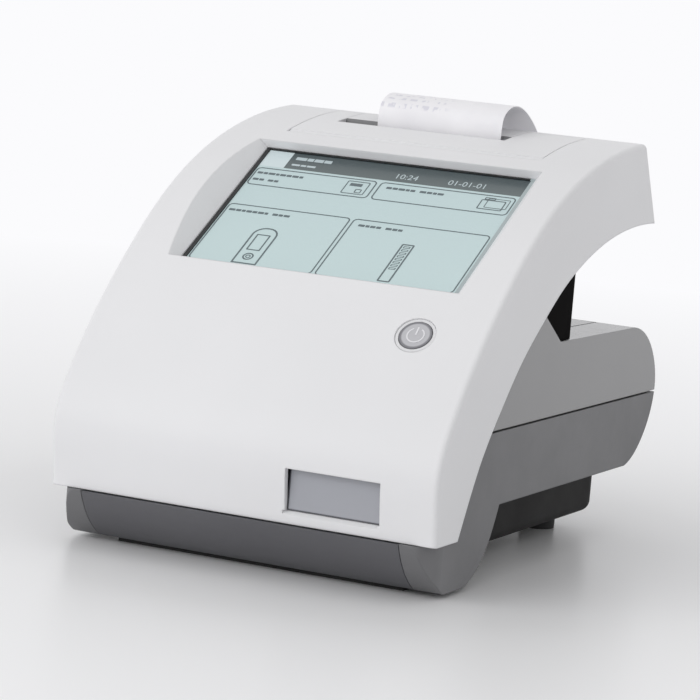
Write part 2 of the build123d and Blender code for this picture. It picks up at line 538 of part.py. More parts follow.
insert = block((-INSERT_HALF, INSERT_HALF), INSERT_Y, (INSERT_Z, INSERT_Z + 4.2))
GROOVE_HALF = 3.2
insert -= block((-GROOVE_HALF, GROOVE_HALF), (30.0, 112.0), (INSERT_Z + 2.6, INSERT_Z + 5))
insert -= Pos(0, 36, INSERT_Z + 6.6) * Rot(0, 90, 0) * Cylinder(6.0, 26)
save("strip_insert", one(insert))
save("calibration_bar", block((-GROOVE_HALF + 0.2, GROOVE_HALF - 0.2), (100.0, 109.0),
                              (INSERT_Z + 2.6, INSERT_Z + 3.2)))

# rack on the table's right side, teeth centred half a pitch either side of the pinion's tooth
tip_half = RACK_PITCH / 4 - BACKLASH / 2
flank = sin(radians(20)) / cos(radians(20))
RACK_Y = (PINION_Y - 5.5 * RACK_PITCH, PINION_Y + TABLE_TRAVEL + 3 * RACK_PITCH)
rack = block((TABLE_HALF, PITCH_X - 1.25 * MODULE), RACK_Y, (TABLE_Z[0] + 0.2, TABLE_Z[1] - 0.4))
tooth_y = PINION_Y - 5 * RACK_PITCH + RACK_PITCH / 2
while tooth_y + RACK_PITCH / 2 < RACK_Y[1]:
    root, tip = tip_half + 1.25 * MODULE * flank, tip_half - MODULE * flank
    corners = [(PITCH_X - 1.25 * MODULE - 0.1, tooth_y - root), (PITCH_X + MODULE, tooth_y - tip),
               (PITCH_X + MODULE, tooth_y + tip), (PITCH_X - 1.25 * MODULE - 0.1, tooth_y + root)]
    tooth = Face(Wire(Polyline(corners + corners[:1]).edges()))
    rack += extrude(Pos(0, 0, TABLE_Z[0] + 0.2) * tooth, amount=TABLE_Z[1] - TABLE_Z[0] - 0.6, dir=(0, 0, 1))
    tooth_y += RACK_PITCH
save("table_rack", one(rack))


def gear(teeth, module, turn, backlash):
    """Involute spur gear outline as a face on the xy plane, one tooth centred at an angle."""
    pitch_r = module * teeth / 2
    base_r = pitch_r * cos(radians(20))
    tip_r, root_r = pitch_r + module, pitch_r - 1.25 * module
    inv20 = sin(radians(20)) / cos(radians(20)) - radians(20)

    def half_angle(r):
        if r <= base_r:
            r = base_r
        reach = (r * r - base_r * base_r) ** 0.5 / base_r
        inv = reach - atan2(reach, 1.0)
        return (pi * module / 2 - backlash) / (2 * pitch_r) + inv20 - inv

    radii = [root_r, base_r, (base_r + pitch_r) / 2, pitch_r, (pitch_r + tip_r) / 2, tip_r]
    points = []
    for k in range(teeth):
        mid = turn + 2 * pi * k / teeth
        points += [(r * cos(mid - half_angle(r)), r * sin(mid - half_angle(r))) for r in radii]
        points += [(r * cos(mid + half_angle(r)), r * sin(mid + half_angle(r))) for r in reversed(radii)]
    return Face(Wire(Polyline(points + points[:1]).edges()))


PINION_X = PITCH_X + PINION_R
PINION_Z = (TABLE_Z[0] + 0.4, TABLE_Z[1] - 0.6)
SHAFT_R = 1.5
pinion = Pos(PINION_X, PINION_Y, PINION_Z[0]) * extrude(gear(PINION_TEETH, MODULE, pi, BACKLASH),
                                                        amount=PINION_Z[1] - PINION_Z[0], dir=(0, 0, 1))
pinion += rod_z(3.0, PINION_X, PINION_Y, (PINION_Z[1], PINION_Z[1] + 1.2))
MOTOR_Z = (20.4, 36.0)
pinion += rod_z(SHAFT_R, PINION_X, PINION_Y, (PINION_Z[0], MOTOR_Z[1] - 3))
save("drive_pinion", one(pinion))
motor = rod_z(11.0, PINION_X, PINION_Y, MOTOR_Z) - rod_z(SHAFT_R + RUN, PINION_X, PINION_Y, (MOTOR_Z[0] - 1, MOTOR_Z[1] - 2.4))
motor += block((PINION_X - 4, PINION_X + 20), (PINION_Y - 5, PINION_Y + 5), (MOTOR_Z[0], MOTOR_Z[0] + 1.2)) - rod_z(
    10.0, PINION_X, PINION_Y, (0, 60))
save("drive_motor", one(motor))
MOTOR_POST = (PINION_X + 16.5, PINION_Y)

# ---------------------------------------------------------------- table channel
CH_Z = (CHANNEL_Z, TABLE_Z[0] - 0.1)
CH_Y = (24.0, 188.0)
RACK_SIDE_Y = (50.0, CH_Y[1])  # the rack's side starts behind the drive pinion
CH_TOP = (TABLE_Z[1] + 0.4, TABLE_Z[1] + 2.0)     # lips over the tray's edges
channel = block((CHANNEL_X[0], 31.0), CH_Y, CH_Z) + block((30.0, CHANNEL_X[1]), RACK_SIDE_Y, CH_Z)
channel += block((CHANNEL_X[0], -TABLE_HALF - FIT), CH_Y, (CH_Z[0], CH_TOP[1]))
channel += block((CHANNEL_X[0], -TABLE_HALF + 2.0), CH_Y, CH_TOP)
channel += block((PITCH_X + 1.6, CHANNEL_X[1]), RACK_SIDE_Y, (CH_Z[0], CH_TOP[1]))
channel += block((TABLE_HALF - 2.0, CHANNEL_X[1]), RACK_SIDE_Y, CH_TOP)
for x in (-24.0, 24.0):
    channel += block((x - 6, x + 6), (24.0, 34.0), (5.2, CH_Z[0] + 0.5))
channel += block((MOTOR_POST[0] - 3, MOTOR_POST[0] + 3), (PINION_Y - 4, PINION_Y + 4), (5.2, MOTOR_Z[0]))
channel += block((28.0, MOTOR_POST[0] + 3), (PINION_Y - 4, PINION_Y + 4), (5.2, 8.0))
channel += block((24.0, 30.0), (PINION_Y - 4, PINION_Y + 4), (5.2, CH_Z[0] + 0.5))
save("table_channel", one(channel))

# ---------------------------------------------------------------- optical reader over the table
FLOOR_Z = BELLY_Z + SHELL
bracket = block((-74.0, 74.0), (66.0, 92.0), (FLOOR_Z, FLOOR_Z + 2.0))
bracket -= block((-15.0, 15.0), (70.0, 100.0), (FLOOR_Z - 1, FLOOR_Z + 3))
head = bracket + block((-19.0, 19.0), (67.0, 112.0), (FLOOR_Z + 2.0, 58.0))
head += block((-14.6, 14.6), (70.6, 91.0), (25.0, FLOOR_Z + 3))
head -= block((-12.0, 12.0), (73.0, 88.6), (24.0, 50.0))
head -= block((-16.0, 16.0), (92.0, 110.0), (40.0, 59.0))
save("reader_housing", one(head))
save("reader_lens", rod_z(6.0, 0.0, 80.8, (46.0, 49.99)))
led = block((-12.0, 12.0), (73.0, 88.6), (30.0, 31.6)) - rod_z(6.6, 0.0, 80.8, (29, 33))
save("led_ring_board", one(led))
save("sensor_board", block((-17.0, 17.0), (68.0, 91.0), (58.0, 59.6)))

# ---------------------------------------------------------------- boards
BOARD_Z = 44.0
posts = [(x, y) for x in (-66.0, 66.0) for y in (126.0, 162.0)]
IO_Z = 44.4                   # underside of the rear board
rear_posts = [rod_z(3.0, x, 197.0, (FLOOR_Z, IO_Z)) for x in (-64.0, 64.0)]
save("board_standoffs", group([rod_z(3.0, x, y, (FLOOR_Z, BOARD_Z)) for x, y in posts] + rear_posts + disp_posts))
main = block((-72.0, 72.0), (120.0, 168.0), (BOARD_Z, BOARD_Z + 1.6))
for x, y in posts:
    main -= rod_z(1.6, x, y, (BOARD_Z - 1, BOARD_Z + 3))
save("main_board", one(main))
chip_top = BOARD_Z + 1.6
chips = [block((-10, 14), (132, 156), (chip_top, chip_top + 2.2)), block((22, 40), (134, 144), (chip_top, chip_top + 1.4)),
         block((22, 40), (148, 158), (chip_top, chip_top + 1.4)), block((-56, -30), (150, 158), (chip_top, chip_top + 7)),
         block((-56, -36), (126, 134), (chip_top, chip_top + 7)), block((46, 56), (126, 136), (chip_top, chip_top + 5))]
chips.append(rod_z(6.0, -22.0, 138.0, (chip_top, chip_top + 6)))   # beeper
save("board_components", group(chips))
save("board_screws", group([rod_z(2.7, x, y, (chip_top, chip_top + 1.8)) for x, y in posts]))

# ---------------------------------------------------------------- rear sockets
PANEL_Y = (218.4, 220.4)
port_panel = block((PORT_X[0] + 1, PORT_X[1] - 1), PANEL_Y, (IO_Z, 62.0))
INLET = (-38.0, 52.4)
SERIAL_X = (-16.0, 15.0)
NET_X = (26.0, 42.0)
port_panel -= rod_y(5.2, INLET[0], (PANEL_Y[0] - 1, PANEL_Y[1] + 1), INLET[1])
port_panel -= block(SERIAL_X, (PANEL_Y[0] - 1, PANEL_Y[1] + 1), (46.4, 58.4))
port_panel -= block(NET_X, (PANEL_Y[0] - 1, PANEL_Y[1] + 1), (46.4, 60.4))
save("port_panel", one(port_panel))
io_board = block((PORT_X[0] + 2, PORT_X[1] - 2), (190.0, PANEL_Y[0]), (IO_Z, IO_Z + 1.6))
IO_POST = (64.0, 197.0)
io_board += block((-IO_POST[0] - 4, IO_POST[0] + 4), (IO_POST[1] - 4, IO_POST[1] + 4), (IO_Z, IO_Z + 1.6))
save("rear_board", one(io_board))
inlet = rod_y(5.0, INLET[0], (PANEL_Y[0] + 0.4, PANEL_Y[1] + 3.0), INLET[1])
inlet += block((INLET[0] - 6, INLET[0] + 6), (PANEL_Y[0] - 10, PANEL_Y[0]), (IO_Z + 1.6, 59.0))
inlet += rod_y(5.0, INLET[0], (PANEL_Y[0] - 1, PANEL_Y[0] + 1), INLET[1])
inlet -= rod_y(3.2, INLET[0], (PANEL_Y[0] - 6, PANEL_Y[1] + 5), INLET[1])
inlet += rod_y(1.0, INLET[0], (PANEL_Y[0] - 7, PANEL_Y[1] + 2), INLET[1])
save("power_inlet", one(inlet))
serial = block((SERIAL_X[0] + 0.3, SERIAL_X[1] - 0.3), (PANEL_Y[0] - 8, PANEL_Y[1] + 5.0), (46.7, 58.1))
serial -= block((SERIAL_X[0] + 5, SERIAL_X[1] - 5), (PANEL_Y[1] - 1, PANEL_Y[1] + 6), (48.6, 56.2))
for i in range(5):
    serial += rod_y(0.5, -5.98 + 2.77 * i, (PANEL_Y[1] - 1.5, PANEL_Y[1] + 4), 53.8)
for i in range(4):
    serial += rod_y(0.5, -4.6 + 2.77 * i, (PANEL_Y[1] - 1.5, PANEL_Y[1] + 4), 51.0)
save("serial_socket", one(serial))
net = block((NET_X[0] + 0.3, NET_X[1] - 0.3), (PANEL_Y[0] - 10, PANEL_Y[1] + 0.6), (IO_Z + 1.6 + 0.5, 60.1))
net -= block((NET_X[0] + 2, NET_X[1] - 2), (PANEL_Y[0] - 6, PANEL_Y[1] + 2), (48.6, 57.0))
save("network_socket", one(net))

# ---------------------------------------------------------------- batteries
BAT_Z = (72.0, 88.0)
CELL_R = 7.1
bat_tray = block((-60.0, 60.0), (171.5, 204.4), BAT_Z) - block((-56.0, 56.0), (173.2, 202.8), (BAT_Z[0] + 2, 90))
bat_tray += block((-60.0, 60.0), (187.6, 188.4), (BAT_Z[0] + 1, BAT_Z[0] + 6))
for x, y in ((-71.0, 176.0), (71.0, 176.0), (-71.0, 200.0), (71.0, 200.0)):
    x0, x1 = sorted((x + (3 if x > 0 else -3), 59.0 if x > 0 else -59.0))
    bat_tray += block((x0, x1), (y - 3, y + 3), (BAT_Z[1] - 2.4, BAT_Z[1]))
hangers = [block((x - 3, x + 3), (y - 3, y + 3), (BAT_Z[1], 93.05)) for x, y in
           ((-71.0, 176.0), (71.0, 176.0), (-71.0, 198.0), (71.0, 198.0))]
for hanger in hangers:
    bat_tray += hanger
save("battery_tray", one(bat_tray))
cell_y = (180.4, 195.6)
cells = []
for y in cell_y:
    for x0 in (-52.0, 1.0):
        z = BAT_Z[0] + 2.02 + CELL_R
        cells.append(rod_x(CELL_R, (x0, x0 + 49.0), y, z) + rod_x(2.6, (x0 + 49.0, x0 + 50.2), y, z))
save("battery_cells", group(cells))
contacts = [block((x, x + 0.6), (y - 5, y + 5), (BAT_Z[0] + 2, BAT_Z[1] - 2)) for x in (-55.9, 55.3) for y in cell_y]
save("battery_contacts", group(contacts))

# ---------------------------------------------------------------- printer
PLATEN = (171.0, 160.0)
PLATEN_R = 5.0
ROLL = (152.4, 152.4)
ROLL_R = 9.4
CORE_R = 5.6
SPINDLE_R = 2.0
PLATE_X = (PAPER_HALF + 2.2, PAPER_HALF + 4.2)      # side plates of the printer
GEAR_X = (PLATE_X[1] + 1.0, PLATE_X[1] + 4.0)
side_face = outline((142.6, 142.0), ((160.0, 144.6),), ((186.0, 145.6),), ((186.0, 165.0),), ((176.0, 168.0),),
                    ((160.0, 168.0),), ((156.0, 162.0),), ((142.6, 158.0),))
frame = across(side_face, PLATE_X[0], PLATE_X[1]) + across(side_face, -PLATE_X[1], -PLATE_X[0])
frame += block((-PLATE_X[1], PLATE_X[1]), (180.0, 186.0), (145.6, 148.0))
frame += block((-PLATE_X[1], PLATE_X[1]), (166.0, 168.0), (145.0, 149.0))
frame -= rod_x(1.5 + RUN, (-50, 50), *PLATEN)
frame -= rod_x(SPINDLE_R + RUN, (-50, 50), *ROLL)
frame -= block((-50, -20), (ROLL[0] - SPINDLE_R - RUN, ROLL[0] + SPINDLE_R + RUN), (ROLL[1], 170.0))
FEED_TEETH, GEAR_TEETH, FEED_MODULE = 14, 28, 0.5
FEED_DIST = FEED_MODULE * (FEED_TEETH + GEAR_TEETH) / 2
FEED = (PLATEN[0] - FEED_DIST, PLATEN[1])
frame -= rod_x(1.0 + RUN, (20, 50), *FEED)
save("printer_frame", one(frame))
save("platen_roller", rod_x(PLATEN_R, (-PAPER_HALF - 0.6, PAPER_HALF + 0.6), *PLATEN) - rod_x(1.5, (-40, 40), *PLATEN))


def gear_x(teeth, module, turn, bore, x, at):
    """Spur gear standing across the x axis between two values."""
    turned = Location((x[0], at[0], at[1])) * Rot(90, 0, 0) * Rot(0, 90, 0)
    solid = turned * extrude(gear(teeth, module, turn, 0.14), amount=x[1] - x[0], dir=(0, 0, 1))
    return solid - rod_x(bore, (x[0] - 5, x[1] + 5), *at)


save("platen_shaft", one(gear_x(GEAR_TEETH, FEED_MODULE, pi, 1.4, GEAR_X, PLATEN) +
                         rod_x(1.5, (-PLATE_X[1] - 2, GEAR_X[1] + 0.4), *PLATEN)))
save("feed_pinion", one(gear_x(FEED_TEETH, FEED_MODULE, pi / FEED_TEETH, 0.9, GEAR_X, FEED) +
                        rod_x(1.0, (PLATE_X[0], GEAR_X[1] + 9), *FEED)))
FEED_MOTOR_X = GEAR_X[1] + 1.4
save("feed_motor", one(rod_x(7.0, (FEED_MOTOR_X, FEED_MOTOR_X + 17.6), *FEED) -
                       rod_x(1.0 + RUN, (FEED_MOTOR_X - 1, GEAR_X[1] + 9.6), *FEED) +
                       block((FEED_MOTOR_X, FEED_MOTOR_X + 1.2), (FEED[0] - 3, FEED[0] + 3), (143.4, FEED[1] - 6))))
save("thermal_head", block((-28.0, 28.0), (162.4, 164.7), (157.4, 166.6)))
save("paper_roll", rod_x(ROLL_R, (-PAPER_HALF, PAPER_HALF), *ROLL) - rod_x(CORE_R, (-40, 40), *ROLL))
save("roll_core", rod_x(CORE_R, (-PAPER_HALF, PAPER_HALF), *ROLL) - rod_x(CORE_R - 0.8, (-40, 40), *ROLL))
save("roll_spindle", rod_x(CORE_R - 0.8, (-PAPER_HALF - 1, PAPER_HALF + 1), *ROLL) +
     rod_x(SPINDLE_R, (-PLATE_X[1], PLATE_X[1]), *ROLL))
STRIP = [(162.3, 149.0), (164.4, 154.6), (165.1, 160.0), (165.1, 170.0), (165.2, 178.0), (166.8, 184.6),
         (171.5, 188.0), (180.0, 189.5), (189.5, 187.5), (198.5, 183.1), (208.4, 175.5), (213.5, 167.0)]
front_side = inset(STRIP, -PAPER / 2)
back_side = inset(STRIP, PAPER / 2)[::-1]
strip_face = outline(front_side[0], front_side[1:], (back_side[0],), back_side[1:])
save("paper_strip", across(strip_face, -PAPER_HALF, PAPER_HALF))
tear = block((-PAPER_HALF - 1.2, PAPER_HALF + 1.2), (168.4, 169.4), (168.6, 175.4))
save("tear_bar", tear)
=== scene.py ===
"""Urine analyzer: finishes, screen picture and small mouldings over the shared frame."""
import bpy, math
from mathutils import Vector, Matrix


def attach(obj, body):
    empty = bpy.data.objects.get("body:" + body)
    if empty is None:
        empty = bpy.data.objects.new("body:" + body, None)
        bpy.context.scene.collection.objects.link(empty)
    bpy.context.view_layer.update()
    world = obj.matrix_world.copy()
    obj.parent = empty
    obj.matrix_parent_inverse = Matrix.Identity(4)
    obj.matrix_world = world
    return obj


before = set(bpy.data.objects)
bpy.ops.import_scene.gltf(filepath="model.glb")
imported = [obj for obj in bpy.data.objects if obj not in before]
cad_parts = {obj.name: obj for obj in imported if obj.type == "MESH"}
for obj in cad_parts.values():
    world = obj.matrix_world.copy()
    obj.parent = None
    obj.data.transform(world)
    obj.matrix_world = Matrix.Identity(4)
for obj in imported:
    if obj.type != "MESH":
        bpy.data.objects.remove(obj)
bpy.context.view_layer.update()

MM = 0.001
MID = 0.1184                      # from the hood's foot to the middle of the depth
SLOT_WALL = 0.1696 - MID          # front of the paper exit bezel
WINDOW_LEFT, WINDOW_LOW = 0.0207, 0.0289      # left and lower edge of the front window
OPEN_RIGHT = 0.0637               # right-hand edge of the display opening
OPEN_LOW = (48.2, 119.4)          # its near edge, depth and height as at() takes them
OPEN_HIGH = (124.5, 166.1)        # its far edge
GLASS_TOP = -4.5                  # touch glass below the chord of the opening, mm
BUTTON_SLOPE = 0.78288            # lean of the power button's face, radians


def at(x, y, z):
    """Point in the frame, from millimetres measured from the hood's foot."""
    return Vector((x / 1000, y / 1000 - MID, z / 1000))


def tone(code, alpha=1.0):
    """Linear colour of a screen colour written as six hex digits."""
    parts = [int(code[i:i + 2], 16) / 255 for i in (0, 2, 4)]
    return tuple(c / 12.92 if c < 0.04045 else ((c + 0.055) / 1.055) ** 2.4 for c in parts) + (alpha,)


# ---------------------------------------------------------------- shared effects
def effect(name, inputs, outputs):
    """Empty node group with typed sockets, and its two end nodes."""
    tree = bpy.data.node_groups.new(name, "ShaderNodeTree")
    for label, kind, value in inputs:
        socket = tree.interface.new_socket(name=label, in_out="INPUT", socket_type=kind)
        if value is not None:
            socket.default_value = value
    for label, kind in outputs:
        tree.interface.new_socket(name=label, in_out="OUTPUT", socket_type=kind)
    return tree, tree.nodes.new("NodeGroupInput"), tree.nodes.new("NodeGroupOutput")


def noise(tree, place, scale, detail=3.0, rough=0.55):
    """Noise over the surface; its scale is a number or a socket."""
    node = tree.nodes.new("ShaderNodeTexNoise")
    node.inputs["Detail"].default_value = detail
    node.inputs["Roughness"].default_value = rough
    tree.links.new(place, node.inputs["Vector"])
    if isinstance(scale, (int, float)):
        node.inputs["Scale"].default_value = scale
    else:
        tree.links.new(scale, node.inputs["Scale"])
    return node.outputs["Fac"]


def spread(tree, value, low, high, out_low=0.0, out_high=1.0):
    """Value mapped from one span to another, clamped."""
    node = tree.nodes.new("ShaderNodeMapRange")
    node.inputs["From Min"].default_value = low
    node.inputs["From Max"].default_value = high
    node.inputs["To Min"].default_value = out_low
    node.inputs["To Max"].default_value = out_high
    tree.links.new(value, node.inputs["Value"])
    return node.outputs["Result"]


def sums(tree, kind, a, b):
    """One step of arithmetic on two sockets or numbers."""
    node = tree.nodes.new("ShaderNodeMath")
    node.operation = kind
    for socket, part in zip(node.inputs, (a, b)):
        if isinstance(part, (int, float)):
            socket.default_value = part
        else:
            tree.links.new(part, socket)
    return node.outputs[0]


def blend_colours(tree, factor, a, b):
    """Two colours, each a socket or a tone, blended by a socket."""
    node = tree.nodes.new("ShaderNodeMix")
    node.data_type = "RGBA"
    for socket, part in ((node.inputs[0], factor), (node.inputs[6], a), (node.inputs[7], b)):
        if isinstance(part, tuple):
            socket.default_value = part
        else:
            tree.links.new(part, socket)
    return node.outputs[2]


def moulded_skin():
    """Moulded plastic: spark-eroded grain, faint flow mottle and a slightly uneven sheen."""
    tree, start, end = effect("moulded_skin", [
        ("Colour", "NodeSocketColor", None), ("Deep", "NodeSocketColor", None),
        ("Grain", "NodeSocketFloat", 1500.0), ("Sheen", "NodeSocketFloat", 0.4),
        ("Unevenness", "NodeSocketFloat", 0.05)],
        [("Colour", "NodeSocketColor"), ("Roughness", "NodeSocketFloat"), ("Height", "NodeSocketFloat")])
    place = tree.nodes.new("ShaderNodeTexCoord").outputs["Object"]
    fine = noise(tree, place, start.outputs["Grain"], 2.0)
    flow = noise(tree, place, 7.0, 3.0)
    handled = noise(tree, place, 38.0, 4.0, 0.65)
    mask = spread(tree, flow, 0.35, 0.68)
    speck = spread(tree, fine, 0.42, 0.62, 0.0, 0.25)
    colour = blend_colours(tree, sums(tree, "MAXIMUM", mask, speck), start.outputs["Colour"],
                           start.outputs["Deep"])
    swing = sums(tree, "MULTIPLY", spread(tree, handled, 0.3, 0.7, -1.0, 1.0), start.outputs["Unevenness"])
    tree.links.new(colour, end.inputs["Colour"])
    tree.links.new(sums(tree, "ADD", start.outputs["Sheen"], swing), end.inputs["Roughness"])
    tree.links.new(fine, end.inputs["Height"])
    return tree


def drawn_metal():
    """Brushed sheet or turned bar: long fine lines along one axis, with faint stains."""
    tree, start, end = effect("drawn_metal", [
        ("Colour", "NodeSocketColor", None), ("Stain", "NodeSocketColor", None),
        ("Lines", "NodeSocketFloat", 900.0), ("Sheen", "NodeSocketFloat", 0.3)],
        [("Colour", "NodeSocketColor"), ("Roughness", "NodeSocketFloat"), ("Height", "NodeSocketFloat")])
    place = tree.nodes.new("ShaderNodeTexCoord").outputs["Object"]
    stretch = tree.nodes.new("ShaderNodeMapping")
    stretch.inputs["Scale"].default_value = (0.04, 1.0, 1.0)
    tree.links.new(place, stretch.inputs["Vector"])
    lines = noise(tree, stretch.outputs["Vector"], start.outputs["Lines"], 3.0)
    stain = spread(tree, noise(tree, place, 90.0, 4.0), 0.45, 0.75)
    tree.links.new(blend_colours(tree, stain, start.outputs["Colour"], start.outputs["Stain"]),
                   end.inputs["Colour"])
    tree.links.new(sums(tree, "ADD", start.outputs["Sheen"], spread(tree, lines, 0.3, 0.7, -0.08, 0.12)),
                   end.inputs["Roughness"])
    tree.links.new(lines, end.inputs["Height"])
    return tree


def solder_mask():
    """Circuit board: lacquer over copper tracks, with pads standing a little proud."""
    tree, start, end = effect("solder_mask", [
        ("Lacquer", "NodeSocketColor", None), ("Track", "NodeSocketColor", None),
        ("Pad", "NodeSocketColor", None)],
        [("Colour", "NodeSocketColor"), ("Roughness", "NodeSocketFloat"), ("Height", "NodeSocketFloat")])
    place = tree.nodes.new("ShaderNodeTexCoord").outputs["Object"]
    grid = tree.nodes.new("ShaderNodeTexBrick")
    grid.inputs["Scale"].default_value = 120.0
    grid.inputs["Mortar Size"].default_value = 0.035
    grid.inputs["Brick Width"].default_value = 0.9
    grid.inputs["Row Height"].default_value = 0.22
    tree.links.new(place, grid.inputs["Vector"])
    pads = tree.nodes.new("ShaderNodeTexVoronoi")
    pads.inputs["Scale"].default_value = 260.0
    pads.inputs["Randomness"].default_value = 0.35
    tree.links.new(place, pads.inputs["Vector"])
    pad = spread(tree, pads.outputs["Distance"], 0.16, 0.12)
    some = spread(tree, noise(tree, place, 70.0, 2.0), 0.5, 0.56)
    pad = sums(tree, "MULTIPLY", pad, some)
    colour = blend_colours(tree, grid.outputs["Fac"], start.outputs["Lacquer"], start.outputs["Track"])
    tree.links.new(blend_colours(tree, pad, colour, start.outputs["Pad"]), end.inputs["Colour"])
    tree.links.new(spread(tree, pad, 0.0, 1.0, 0.32, 0.2), end.inputs["Roughness"])
    tree.links.new(sums(tree, "MAXIMUM", grid.outputs["Fac"], pad), end.inputs["Height"])
    return tree


def crystal_cells():
    """Liquid crystal picture: a grid of tiny cells, with painted shade darkening it towards the top of the
    screen, under the rim of the opening.
    """
    tree, start, end = effect("crystal_cells", [
        ("Lit", "NodeSocketColor", None), ("Gap", "NodeSocketColor", None),
        ("Shaded", "NodeSocketColor", None), ("Low", "NodeSocketFloat", 0.13),
        ("High", "NodeSocketFloat", 0.16)],
        [("Colour", "NodeSocketColor"), ("Height", "NodeSocketFloat")])
    place = tree.nodes.new("ShaderNodeTexCoord").outputs["Object"]
    cells = tree.nodes.new("ShaderNodeTexBrick")
    cells.offset = 0.0
    cells.inputs["Scale"].default_value = 1000.0
    cells.inputs["Mortar Size"].default_value = 0.04
    cells.inputs["Brick Width"].default_value = 0.39
    cells.inputs["Row Height"].default_value = 0.33
    tree.links.new(place, cells.inputs["Vector"])
    split = tree.nodes.new("ShaderNodeSeparateXYZ")
    tree.links.new(place, split.inputs["Vector"])
    climb = tree.nodes.new("ShaderNodeMapRange")
    tree.links.new(split.outputs["Z"], climb.inputs["Value"])
    tree.links.new(start.outputs["Low"], climb.inputs["From Min"])
    tree.links.new(start.outputs["High"], climb.inputs["From Max"])
    colour = blend_colours(tree, climb.outputs["Result"], start.outputs["Lit"], start.outputs["Shaded"])
    gap = sums(tree, "MULTIPLY", cells.outputs["Fac"], 0.35)
    colour = blend_colours(tree, gap, colour, start.outputs["Gap"])
    tree.links.new(colour, end.inputs["Colour"])
    tree.links.new(cells.outputs["Fac"], end.inputs["Height"])
    return tree


SKIN, METAL, BOARD, CELLS = moulded_skin(), drawn_metal(), solder_mask(), crystal_cells()


def finish(name, group, settings, bump=0.0, relief=0.00004, edge=0.0, **plain):
    """Material whose colour, sheen and relief come from a shared effect; plain values sit on the shader."""
    material = bpy.data.materials.new(name)
    material.use_nodes = True
    tree = material.node_tree
    shader = tree.nodes["Principled BSDF"]
    look = tree.nodes.new("ShaderNodeGroup")
    look.node_tree = group
    for label, value in settings.items():
        look.inputs[label].default_value = value
    tree.links.new(look.outputs["Colour"], shader.inputs["Base Color"])
    if "Roughness" in look.outputs:
        tree.links.new(look.outputs["Roughness"], shader.inputs["Roughness"])
    if bump:
        raised = tree.nodes.new("ShaderNodeBump")
        raised.inputs["Strength"].default_value = bump
        raised.inputs["Distance"].default_value = relief
        tree.links.new(look.outputs["Height"], raised.inputs["Height"])
        tree.links.new(raised.outputs["Normal"], shader.inputs["Normal"])
        if edge:
            soft = tree.nodes.new("ShaderNodeBevel")
            soft.samples = 6
            soft.inputs["Radius"].default_value = edge
            tree.links.new(soft.outputs["Normal"], raised.inputs["Normal"])
    for label, value in plain.items():
        shader.inputs[label.replace("_", " ")].default_value = value
    return material


def moulding(name, colour, deep, sheen=0.42, grain=1500.0, bump=0.25, edge=0.0005, uneven=0.05, **plain):
    return finish(name, SKIN, {"Colour": tone(colour), "Deep": tone(deep), "Grain": grain, "Sheen": sheen,
                               "Unevenness": uneven}, bump, edge=edge, **plain)


def metal(name, colour, stain, sheen=0.3, lines=900.0, **plain):
    return finish(name, METAL, {"Colour": tone(colour), "Stain": tone(stain), "Lines": lines, "Sheen": sheen},
                  0.2, 0.00002, Metallic=1.0, **plain)


def banded(material, value, low, high, colour):
    """Second colour on a material, where a value made from Object coordinates runs from low to high."""
    tree = material.node_tree
    shader = tree.nodes["Principled BSDF"]
    base = shader.inputs["Base Color"].links[0].from_socket
    mask = spread(tree, value, low, high)
    tree.links.new(blend_colours(tree, mask, base, tone(colour)), shader.inputs["Base Color"])


def far_from(material, centre):
    """Distance of the surface from a point in the frame."""
    tree = material.node_tree
    shift = tree.nodes.new("ShaderNodeMapping")
    shift.inputs["Location"].default_value = -centre
    tree.links.new(tree.nodes.new("ShaderNodeTexCoord").outputs["Object"], shift.inputs["Vector"])
    length = tree.nodes.new("ShaderNodeVectorMath")
    length.operation = "LENGTH"
    tree.links.new(shift.outputs["Vector"], length.inputs[0])
    return length.outputs["Value"]


def along(material, axis):
    """One coordinate of the surface in the frame."""
    tree = material.node_tree
    split = tree.nodes.new("ShaderNodeSeparateXYZ")
    tree.links.new(tree.nodes.new("ShaderNodeTexCoord").outputs["Object"], split.inputs["Vector"])
    return split.outputs[axis]


def edge_band(material, axis, edge, start, full, colour):
    """Band of colour along a straight edge; start and full are in mm from that edge."""
    banded(material, along(material, axis), edge + start * MM, edge + full * MM, colour)


hood_white = moulding("hood_white", "E9E9EB", "E5E5E7", 0.46, 1300.0, 0.12, 0.0009, 0.04,
                      Specular_IOR_Level=0.16)
cover_white = moulding("cover_white", "EBEBED", "E6E6E8", 0.5, 1300.0, 0.15, 0.0004, 0.04,
                       Specular_IOR_Level=0.1)
underside_white = moulding("underside_white", "DDDDE0", "D6D6D9", 0.5, 1100.0, 0.25, 0.0004)
base_upper_grey = moulding("base_upper_grey", "8A8A8B", "868687", 0.2, 1500.0, 0.2, 0.0008, 0.015)
base_lower_grey = moulding("base_lower_grey", "737375", "6D6D6F", 0.5, 1500.0, 0.5, 0.0008)
# painted shade: the table front is the lower base's plastic, drawn darker for the shade that falls on it
table_front_shaded_grey = moulding("table_front_shaded_grey", "606064", "5A5A5E", 0.5, 1500.0, 0.5, 0.0005)
lid_grey = moulding("lid_grey", "8A8A8B", "868687", 0.2, 1500.0, 0.2, 0.0004, 0.015)
# painted shade: the bottom pan is coloured near-black so that it merges with the shadow under the base
pan_grey = moulding("pan_grey", "1C1B1B", "171616", 0.65, 1200.0, 0.5, 0.0008, Specular_IOR_Level=0.2)
neck_black = moulding("neck_black", "0D0B0C", "090808", 0.7, 1400.0, 0.35, 0.0012, Specular_IOR_Level=0.02)
trim_black = moulding("trim_black", "15181A", "0E1011", 0.5, 1400.0, 0.35, 0.0002)
window_grey = moulding("window_grey", "A3A4AB", "9EA0A7", 0.2, 900.0, 0.05, 0.0003, 0.03, Coat_Weight=0.5,
                       Coat_Roughness=0.08)
button_grey = moulding("button_grey", "BFBFC3", "B9B9BD", 0.34, 1600.0, 0.2, 0.0006)
ring_white = moulding("ring_white", "E2E2E4", "DDDDDF", 0.42, 1600.0, 0.15, 0.0004)
